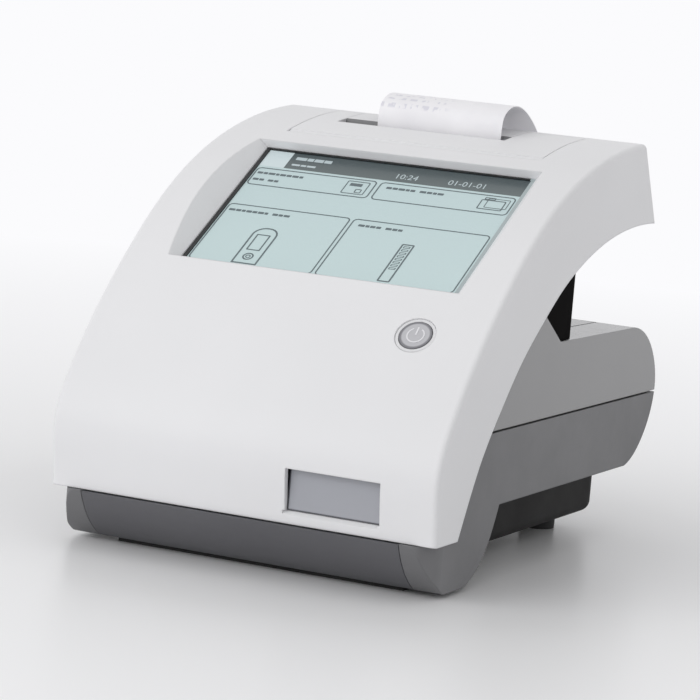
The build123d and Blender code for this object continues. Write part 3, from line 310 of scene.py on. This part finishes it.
symbol_white = moulding("symbol_white", "E6E6E9", "E0E0E3", 0.35, 1600.0, 0.1, 0.0001)
rubber_black = moulding("rubber_black", "262626", "1E1E1E", 0.75, 1800.0, 0.8, 0.0006, 0.08)
chip_black = moulding("chip_black", "242425", "1B1B1C", 0.55, 2600.0, 0.5, 0.0002)
insert_white = moulding("insert_white", "E4E4E0", "DDDDD8", 0.48, 1500.0, 0.3, 0.0003)
reference_white = moulding("reference_white", "F2F2EE", "EDEDE8", 0.8, 3000.0, 0.4, 0.0001)
gear_white = moulding("gear_white", "DEDCD0", "D5D2C4", 0.45, 1800.0, 0.2, 0.0001, Subsurface_Weight=0.08)
card_brown = moulding("card_brown", "B79F7E", "A98E6B", 0.85, 2200.0, 0.7, 0.0002, 0.08)
cell_jacket = moulding("cell_jacket", "4A5568", "414B5C", 0.3, 700.0, 0.1, 0.0003, 0.05, Coat_Weight=0.4)
tray_dark = moulding("tray_dark", "4B4B4E", "444447", 0.55, 1500.0, 0.5, 0.0004)
reader_dark = moulding("reader_dark", "2A2A2C", "232325", 0.65, 1700.0, 0.5, 0.0004)
steel = metal("steel", "C3C3C6", "A9A9AC", 0.3)
tear_steel = metal("tear_steel", "CFCFD2", "B8B8BB", 0.24, 1400.0)
motor_steel = metal("motor_steel", "B5B5B8", "96969A", 0.36)
spring_brass = metal("spring_brass", "D6C38C", "B9A468", 0.3)
board_green = finish("board_green", BOARD, {"Lacquer": tone("1F6B3D"), "Track": tone("2B8450"),
                                            "Pad": tone("D9C77B")}, 0.4, 0.00003)
lens_clear = finish("lens_clear", SKIN, {"Colour": tone("F2F6F8"), "Deep": tone("EAF0F4"), "Grain": 300.0,
                                         "Sheen": 0.04, "Unevenness": 0.02}, Transmission_Weight=1.0, IOR=1.5)
glass_black = moulding("glass_black", "14181A", "101315", 0.16, 500.0, 0.02, 0.0002, 0.03, Coat_Weight=0.6,
                       Coat_Roughness=0.05)
panel_steel = metal("panel_steel", "C9C9CB", "B4B4B7", 0.33, 700.0)
panel_dark = moulding("panel_dark", "2B2B2E", "252528", 0.5, 1500.0, 0.4, 0.0003)
socket_black = moulding("socket_black", "1C1C1E", "161618", 0.45, 1900.0, 0.3, 0.0002)


bezel_white = moulding("bezel_white", "EBEBED", "E6E6E8", 0.5, 1300.0, 0.15, 0.0, 0.04,
                       Specular_IOR_Level=0.1)

# painted shade: the wall of the paper slot is drawn darker than the bezel's top, for the shade inside the
# slot
edge_band(bezel_white, "Y", SLOT_WALL, 0.4, 0.1, "98989A")
# painted shade along the left and lower edges of the front window, where the walls of its recess are in shade
edge_band(window_grey, "X", WINDOW_LEFT, 1.1, 0.7, "3E3F45")
edge_band(window_grey, "Z", WINDOW_LOW, 1.0, 0.5, "4A4B51")
# right-hand strip of the gasket, pale like the screen beside it
edge_band(trim_black, "X", OPEN_RIGHT, -1.9, -1.7, "A9B4B6")


def thermal_paper():
    """Paper: soft fibre tone and relief, with short rows of faint grey dashes across the print side."""
    material = bpy.data.materials.new("thermal_paper")
    material.use_nodes = True
    tree = material.node_tree
    shader = tree.nodes["Principled BSDF"]
    place = tree.nodes.new("ShaderNodeTexCoord").outputs["Object"]
    fibre = noise(tree, place, 2400.0, 4.0)
    cloud = spread(tree, noise(tree, place, 40.0, 3.0), 0.35, 0.7)
    plain = blend_colours(tree, cloud, tone("F4F3F6"), tone("ECEBEF"))
    rows = tree.nodes.new("ShaderNodeTexBrick")
    rows.offset = 0.37
    rows.inputs["Scale"].default_value = 1000.0
    rows.inputs["Mortar Size"].default_value = 1.3
    rows.inputs["Mortar Smooth"].default_value = 0.4
    rows.inputs["Brick Width"].default_value = 5.5
    rows.inputs["Row Height"].default_value = 3.6
    tree.links.new(place, rows.inputs["Vector"])
    split = tree.nodes.new("ShaderNodeSeparateXYZ")
    tree.links.new(place, split.inputs["Vector"])
    left = spread(tree, split.outputs["X"], 0.004, -0.002)
    dash = sums(tree, "SUBTRACT", 1.0, rows.outputs["Fac"])
    broken = spread(tree, noise(tree, place, 330.0, 1.0), 0.44, 0.5)
    ink = sums(tree, "MULTIPLY", sums(tree, "MULTIPLY", dash, broken), sums(tree, "MULTIPLY", left, 0.55))
    tree.links.new(blend_colours(tree, ink, plain, tone("C9C8D6")), shader.inputs["Base Color"])
    tree.links.new(spread(tree, fibre, 0.3, 0.7, 0.55, 0.7), shader.inputs["Roughness"])
    raised = tree.nodes.new("ShaderNodeBump")
    raised.inputs["Strength"].default_value = 0.25
    raised.inputs["Distance"].default_value = 0.00003
    tree.links.new(fibre, raised.inputs["Height"])
    tree.links.new(raised.outputs["Normal"], shader.inputs["Normal"])
    return material


SCREEN_GLOW = 0.12                # light from behind the liquid crystal picture


def screen_ink(name, lit, gap, shaded, low=0.125, high=0.165):
    """Part of the liquid crystal picture, softly lit from behind."""
    material = finish(name, CELLS, {"Lit": tone(lit), "Gap": tone(gap), "Shaded": tone(shaded), "Low": low,
                                    "High": high}, 0.05, 0.00001, Roughness=0.3, Coat_Weight=0.2,
                      Coat_Roughness=0.1)
    shader = material.node_tree.nodes["Principled BSDF"]
    look = next(n for n in material.node_tree.nodes if n.type == "GROUP")
    material.node_tree.links.new(look.outputs["Colour"], shader.inputs["Emission Color"])
    shader.inputs["Emission Strength"].default_value = SCREEN_GLOW
    return material


paper = thermal_paper()
# painted shade: every screen ink darkens towards the top of the screen, the title bar most, as if under the
# rim of the opening
screen_pale = screen_ink("screen_pale", "BBCECF", "A8BBBD", "B6C9CB")
screen_patch = screen_ink("screen_patch", "CBD8DA", "B9C8CB", "C6D3D6")
screen_bar = screen_ink("screen_bar", "66716F", "586365", "3C484B", 0.1465, 0.160)
screen_line = screen_ink("screen_line", "4F5E62", "475559", "4A585D")
screen_light = screen_ink("screen_light", "B9C6C9", "A8B6BA", "B2BFC3")

FINISHES = {
    hood_white: ["hood_shell"],
    cover_white: ["printer_cover"],
    bezel_white: ["paper_exit_bezel"],
    underside_white: ["hood_underside"],
    base_upper_grey: ["base_upper"],
    base_lower_grey: ["base_lower"],
    table_front_shaded_grey: ["table_front"],
    lid_grey: ["battery_lid"],
    pan_grey: ["bottom_pan"],
    neck_black: ["neck"],
    trim_black: ["display_gasket"],
    glass_black: ["touch_glass"],
    window_grey: ["front_window"],
    button_grey: ["power_button"],
    ring_white: ["button_ring"],
    rubber_black: ["front_foot", "rear_feet", "platen_roller"],
    chip_black: ["board_components", "tact_switch"],
    insert_white: ["table_tray", "strip_insert", "roll_spindle"],
    reference_white: ["calibration_bar"],
    gear_white: ["drive_pinion", "feed_pinion", "table_rack"],
    card_brown: ["roll_core"],
    cell_jacket: ["battery_cells"],
    tray_dark: ["battery_tray", "table_channel", "printer_frame", "lcd_backlight"],
    reader_dark: ["reader_housing"],
    steel: ["hood_screws", "base_screws", "board_screws", "cover_hinge_pins", "lid_hinge_pins",
            "platen_shaft", "board_standoffs"],
    tear_steel: ["tear_bar"],
    motor_steel: ["drive_motor", "feed_motor", "thermal_head"],
    spring_brass: ["battery_contacts"],
    board_green: ["display_board", "button_board", "led_ring_board", "sensor_board", "main_board",
                  "rear_board"],
    lens_clear: ["reader_lens"],
    panel_steel: ["network_socket"],
    panel_dark: ["port_panel"],
    socket_black: ["power_inlet", "serial_socket"],
    screen_pale: ["lcd_panel"],
    paper: ["paper_strip", "paper_roll"],
}
for material, names in FINISHES.items():
    for name in names:
        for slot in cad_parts[name].material_slots:
            slot.material = material


# ---------------------------------------------------------------- modelling helpers
def settle(piece, name, body, material):
    """Name, finish and body of a new piece, once its place is in its mesh."""
    piece.name = name
    piece.data.name = name
    piece.data.materials.clear()
    piece.data.materials.append(material)
    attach(piece, body)


def fresh():
    """Nothing selected, before a primitive is added or pieces are chosen."""
    bpy.ops.object.select_all(action="DESELECT")


def edit(piece):
    """One piece alone in edit mode."""
    fresh()
    piece.select_set(True)
    bpy.context.view_layer.objects.active = piece
    bpy.ops.object.mode_set(mode="EDIT")


def done():
    bpy.ops.object.mode_set(mode="OBJECT")


def flat_bar(left, right, low, high):
    """Flat rectangle between four edges in mm."""
    fresh()
    bpy.ops.mesh.primitive_plane_add(size=1.0)
    piece = bpy.context.object
    piece.scale = ((right - left) * MM, (high - low) * MM, 1.0)
    piece.location = ((left + right) / 2 * MM, (low + high) / 2 * MM, 0)
    bpy.ops.object.transform_apply(location=True, rotation=True, scale=True)
    return piece


def flat_disc(radius, sides):
    fresh()
    bpy.ops.mesh.primitive_circle_add(vertices=sides, radius=radius * MM, fill_type="NGON")
    return bpy.context.object


def outlined(piece, line):
    """Only the rim of a flat piece is left, as wide as the line in mm, and nothing on it is selected."""
    edit(piece)
    bpy.ops.mesh.select_all(action="SELECT")
    bpy.ops.mesh.inset(thickness=line * MM, depth=0)
    bpy.ops.mesh.delete(type="FACE")
    bpy.ops.mesh.select_all(action="DESELECT")
    done()


def joined(pieces):
    """Several pieces as one object."""
    fresh()
    for piece in pieces:
        piece.select_set(True)
    bpy.context.view_layer.objects.active = pieces[0]
    bpy.ops.object.join()
    return pieces[0]


# ---------------------------------------------------------------- screen picture
SLOPE = math.atan2(OPEN_HIGH[1] - OPEN_LOW[1], OPEN_HIGH[0] - OPEN_LOW[0])
screen_middle = at(0, (OPEN_LOW[0] + OPEN_HIGH[0]) / 2, (OPEN_LOW[1] + OPEN_HIGH[1]) / 2)
SCREEN = Matrix.Translation(screen_middle) @ Matrix.Rotation(SLOPE, 4, "X")
LAYER = 0.03                      # each layer of the picture above the one under it, mm
FIELD, BLOCKS, LINES = 1, 2, 3    # layers, from the glass upwards


def on_screen(piece, across=0.0, up=0.0, layer=LINES):
    """Flat piece put on the glass, in mm across and up from the middle of the picture."""
    place = Matrix.Translation((across * MM, up * MM, (GLASS_TOP + LAYER * layer) * MM))
    piece.data.transform(SCREEN @ place)
    return piece


def sheet_on_screen(left, right, low, high, corner=0.0, line=0.0, layer=LINES, round_low=True):
    """Flat patch of the screen picture in mm across and up the glass, or only its outline."""
    piece = flat_bar(left, right, low, high)
    if corner:
        edit(piece)
        bpy.ops.mesh.select_all(action="DESELECT")
        done()
        middle = (low + high) / 2 * MM
        for vertex in piece.data.vertices:
            vertex.select = round_low or vertex.co.y > middle
        edit(piece)
        bpy.ops.mesh.bevel(offset=corner * MM, segments=6, affect="VERTICES")
        done()
    if line:
        outlined(piece, line)
    return on_screen(piece, layer=layer)


def circle_on_screen(across, up, radius, line):
    """Circle drawn on the screen as a line."""
    piece = flat_disc(radius, 32)
    outlined(piece, line)
    return on_screen(piece, across, up)


PRINT_CORNER, PRINT_GAP = 0.25, 0.4           # of the bars that stand for print, mm


def dashes(left, up, spans, height):
    """Row of short bars standing for a line of print; a negative span is a space."""
    made, here = [], left
    for width in spans:
        if width > 0:
            made.append(sheet_on_screen(here, here + width, up, up + height, PRINT_CORNER))
        here += abs(width) + PRINT_GAP
    return made


def number_on_screen(body, left, up, size):
    """Plain numerals as flat mesh in the screen picture."""
    fresh()
    bpy.ops.object.text_add()
    text = bpy.context.object.data
    text.body = body
    text.size = size * MM
    text.resolution_u = 3
    bpy.ops.object.convert(target="MESH")
    return on_screen(bpy.context.object, left, up)


# edges of the picture, and of the corner patch and title bar along its top, mm
LCD_LEFT, LCD_RIGHT, LCD_LOW, LCD_HIGH = -62.4, 62.4, -44.2, 43.6
TITLE_LEFT, TITLE_LOW, PATCH_LOW = -50.4, 31.7, 31.6
settle(sheet_on_screen(LCD_LEFT, LCD_RIGHT, LCD_LOW, LCD_HIGH, layer=FIELD),
       "screen_field", "frame", screen_pale)
settle(sheet_on_screen(LCD_LEFT, TITLE_LEFT, PATCH_LOW, LCD_HIGH, layer=BLOCKS),
       "screen_corner_patch", "frame", screen_patch)
settle(sheet_on_screen(TITLE_LEFT, LCD_RIGHT, TITLE_LOW, LCD_HIGH, layer=BLOCKS),
       "screen_title_bar", "frame", screen_bar)

# left, right, low and high edge of the two slim and the two large buttons
BUTTON_EDGES = [
    (-61.9, -3.6, 17.0, 30.3),
    (-2.0, 61.6, 17.0, 30.3),
    (-61.9, -3.5, -39.8, 2.1),
    (-2.2, 61.5, -39.8, 2.1),
]
BUTTON_CORNER, BUTTON_LINE = 2.2, 0.62
# edges, corner and width of the line of each shape in an icon; no line is a filled shape
SHEET_ICON = [
    (-17.1, -6.3, 19.0, 28.5, 0.8, 0.5),
    (-15.2, -9.4, 24.8, 26.9, 0.2, 0.0),
    (-11.2, -8.1, 20.1, 23.0, 0.6, 0.5),
]
FOLDER_ICON = [
    (46.6, 58.1, 19.8, 26.8, 0.7, 0.55),
    (47.7, 52.8, 26.8, 28.5, 0.4, 0.5),
    (49.4, 59.7, 21.1, 28.1, 0.7, 0.4),
]
CASSETTE_EDGE = (-41.7, -29.8, -38.8, -12.4, 5.4, 0.8)
CASSETTE_WINDOW = (-39.2, -32.7, -28.9, -17.3, 0.4, 0.65)
CASSETTE_WELL = (-35.9, -33.4)                # middle of the well and of the drop in it
STRIP_EDGE = (26.2, 32.1, -38.2, -11.1, 0.7, 0.75)
PADS, PAD_TOP, PAD_PITCH, PAD_LONG = 8, -12.6, 2.19, 1.4
PAD_LEFT, PAD_RIGHT = 27.6, 30.7
# left end, height and spans of each line of print in the buttons
PRINT_HEIGHT = 1.5
PRINT_LINES = [
    (-60.4, 25.6, (2.6, 2.0, 3.2, 1.6, 2.8, 2.4, 3.0, 1.8)),
    (-60.4, 20.6, (2.8, 2.2, -1.2, 2.6, 2.0)),
    (1.8, 25.8, (2.6, 2.4, 3.0, 1.8, 2.2, -1.4, 3.0, 2.4, 1.8, 2.8)),
    (-60.2, -3.2, (3.0, 2.4, 1.8, 2.6, 2.2, 2.8, 1.6, -1.4, 2.6, 2.0, 2.8)),
    (1.6, -3.0, (3.0, 1.8, 2.4, 2.2, -1.4, 2.8, 2.2, 2.0)),
]

drawing = [sheet_on_screen(*edges, BUTTON_CORNER, BUTTON_LINE) for edges in BUTTON_EDGES]
drawing += [sheet_on_screen(*shape) for shape in SHEET_ICON + FOLDER_ICON]
drawing.append(sheet_on_screen(*CASSETTE_EDGE, round_low=False))
drawing.append(sheet_on_screen(*CASSETTE_WINDOW))
drawing.append(circle_on_screen(*CASSETTE_WELL, 2.5, 0.7))
drawing.append(circle_on_screen(*CASSETTE_WELL, 1.2, 0.5))
drawing.append(sheet_on_screen(*STRIP_EDGE))
for step in range(PADS):
    high = PAD_TOP - PAD_PITCH * step
    drawing.append(sheet_on_screen(PAD_LEFT, PAD_RIGHT, high - PAD_LONG, high, line=0.35))
for left, up, spans in PRINT_LINES:
    drawing += dashes(left, up, spans, PRINT_HEIGHT)
settle(joined(drawing), "screen_drawing", "frame", screen_line)

NUMERALS_UP, NUMERALS_SIZE = 34.0, 5.0
marks = dashes(-47.8, 38.6, (5.2, 3.0, 4.4, 3.6), 2.2)
marks += dashes(-47.8, 34.2, (4.0, 2.6, 4.2), 1.3)
marks.append(number_on_screen("10:24", 1.8, NUMERALS_UP, NUMERALS_SIZE))
marks.append(number_on_screen("01-01-01", 27.0, NUMERALS_UP, NUMERALS_SIZE))
settle(joined(marks), "screen_title_marks", "frame", screen_light)

# ---------------------------------------------------------------- power symbol on the button
SYMBOL_RADIUS, SYMBOL_LINE, SYMBOL_THICK = 3.9, 0.6, 0.12
SYMBOL_GAP = math.radians(32)     # half of the ring's opening
SYMBOL_BAR = (-0.35, 0.35, 0.2, 4.2)          # left, right, low and high edge
SHADED_RIM_START, SHADED_RIM_FULL = 0.0057, 0.0063          # painted shade on the rim, from the middle of the button's face


def power_symbol():
    """Raised open ring with a short bar, as a standby mark."""
    ring = flat_disc(SYMBOL_RADIUS, 48)
    outlined(ring, SYMBOL_LINE)
    for face in ring.data.polygons:
        angle = math.atan2(face.center.y, face.center.x)
        face.select = abs(angle - math.pi / 2) < SYMBOL_GAP
    edit(ring)
    bpy.ops.mesh.delete(type="FACE")
    done()
    symbol = joined([ring, flat_bar(*SYMBOL_BAR)])
    thick = symbol.modifiers.new("thickness", "SOLIDIFY")
    thick.thickness = SYMBOL_THICK * MM
    thick.offset = 1.0
    bpy.ops.object.modifier_apply(modifier="thickness")
    return symbol


# the symbol sits in the middle of the button's face, found on the button's own mesh
points = [vertex.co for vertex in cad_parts["power_button"].data.vertices]
outward = Matrix.Rotation(BUTTON_SLOPE, 3, "X") @ Vector((0, 0, 1))
height = max(point.dot(outward) for point in points)
face_points = [point for point in points if point.dot(outward) > height - 0.1 * MM]
centre = sum(face_points, Vector()) / len(face_points)
# painted shade: a darker ring round the button's face stands in for the shading of its rounded edge
banded(button_grey, far_from(button_grey, centre), SHADED_RIM_START, SHADED_RIM_FULL, "7C7C81")
symbol = power_symbol()
symbol.data.transform(Matrix.Translation(centre) @ Matrix.Rotation(BUTTON_SLOPE, 4, "X"))
settle(symbol, "power_symbol", "button", symbol_white)

# ---------------------------------------------------------------- camera solved from the photo
TURN, LIFT, ROLL = 0.42168, 0.13693, 0.08595  # radians
DISTANCE = 1464.769 * MM
FOCAL_PX, MIDDLE_PX = 3358.745, (409.850, 377.586)
PICTURE_PX = 700
SENSOR = 36.0
aim = at(12.02, 130, 70)
back = Vector((math.sin(TURN) * math.cos(LIFT), -math.cos(TURN) * math.cos(LIFT), math.sin(LIFT)))
level = (-back).cross(Vector((0, 0, 1))).normalized()
upright = level.cross(-back)
camera_right = level * math.cos(ROLL) + upright * math.sin(ROLL)
camera_up = -level * math.sin(ROLL) + upright * math.cos(ROLL)
lens = bpy.data.cameras.new("camera")
lens.sensor_width = SENSOR
lens.lens = FOCAL_PX / PICTURE_PX * SENSOR
lens.shift_x = (PICTURE_PX / 2 - MIDDLE_PX[0]) / PICTURE_PX
lens.shift_y = (MIDDLE_PX[1] - PICTURE_PX / 2) / PICTURE_PX
lens.clip_end = 30
camera = bpy.data.objects.new("camera", lens)
camera.matrix_world = Matrix((camera_right, camera_up, back)).transposed().to_4x4()
camera.location = aim + back * DISTANCE
bpy.context.scene.collection.objects.link(camera)
bpy.context.scene.camera = camera
bpy.context.scene.view_settings.view_transform = "Standard"


# ---------------------------------------------------------------- floor, world and lamps
def seen_rays(tree):
    """One for camera, glossy and transmission rays, and nothing for the others."""
    rays = tree.nodes.new("ShaderNodeLightPath")
    return sums(tree, "MAXIMUM", rays.outputs["Is Camera Ray"],
                sums(tree, "MAXIMUM", rays.outputs["Is Glossy Ray"], rays.outputs["Is Transmission Ray"]))


def mixed(tree, factor, first, second, end):
    """Two shaders mixed by a factor into the tree's end node."""
    mix = tree.nodes.new("ShaderNodeMixShader")
    tree.links.new(factor, mix.inputs[0])
    tree.links.new(first.outputs[0], mix.inputs[1])
    tree.links.new(second.outputs[0], mix.inputs[2])
    tree.links.new(mix.outputs[0], tree.nodes[end].inputs["Surface"])


WHITE_FROM, WHITE_FULL, WHITE_CURVE = 0.18, 1.15, 0.72    # floor's change to white, metres and power

fresh()
bpy.ops.mesh.primitive_plane_add(size=40.0)
floor = bpy.context.object
floor.name = "floor"
ground = bpy.data.materials.new("floor_pale")
ground.use_nodes = True
tree = ground.node_tree
shader = tree.nodes["Principled BSDF"]
place = tree.nodes.new("ShaderNodeTexCoord").outputs["Object"]
tree.links.new(blend_colours(tree, noise(tree, place, 3.0, 2.0), tone("F0F0F1"), tone("ECECED")),
               shader.inputs["Base Color"])
shader.inputs["Roughness"].default_value = 0.33
shader.inputs["Specular IOR Level"].default_value = 0.35
# the floor turns white with distance, for what the camera and the glossy faces see of it
length = tree.nodes.new("ShaderNodeVectorMath")
length.operation = "LENGTH"
tree.links.new(place, length.inputs[0])
away = spread(tree, length.outputs["Value"], WHITE_FROM, WHITE_FULL)
whiter = sums(tree, "POWER", away, WHITE_CURVE)
white = tree.nodes.new("ShaderNodeEmission")
white.inputs["Color"].default_value = tone("FBFBFD")
mixed(tree, sums(tree, "MULTIPLY", whiter, seen_rays(tree)), shader, white, "Material Output")
floor.data.materials.append(ground)

HORIZON, ZENITH = 0.91, 0.54      # strength of the studio's light, level and overhead
world = bpy.data.worlds.new("studio")
bpy.context.scene.world = world
world.use_nodes = True
tree = world.node_tree
sky = tree.nodes["Background"]
sky.inputs["Color"].default_value = (1.0, 1.0, 1.0, 1.0)
toward = tree.nodes.new("ShaderNodeSeparateXYZ")
tree.links.new(tree.nodes.new("ShaderNodeTexCoord").outputs["Generated"], toward.inputs["Vector"])
tree.links.new(spread(tree, toward.outputs["Z"], 0.0, 1.0, HORIZON, ZENITH), sky.inputs["Strength"])
clear = tree.nodes.new("ShaderNodeBackground")
clear.inputs["Color"].default_value = tone("FAFAFC")
mixed(tree, seen_rays(tree), sky, clear, "World Output")


def softbox(name, place, aim, size, power):
    """Rectangular lamp facing a point."""
    lamp = bpy.data.lights.new(name, "AREA")
    lamp.shape = "RECTANGLE"
    lamp.size, lamp.size_y = size
    lamp.energy = power
    holder = bpy.data.objects.new(name, lamp)
    holder.location = place
    holder.rotation_euler = (Vector(aim) - Vector(place)).to_track_quat("-Z", "Y").to_euler()
    bpy.context.scene.collection.objects.link(holder)


softbox("key", (-0.9, -1.6, 1.0), (0, 0, 0.08), (1.6, 1.1), 12.2)
softbox("overhead", (0.1, 0.4, 1.7), (0, 0, 0.1), (1.6, 1.2), 1.6)
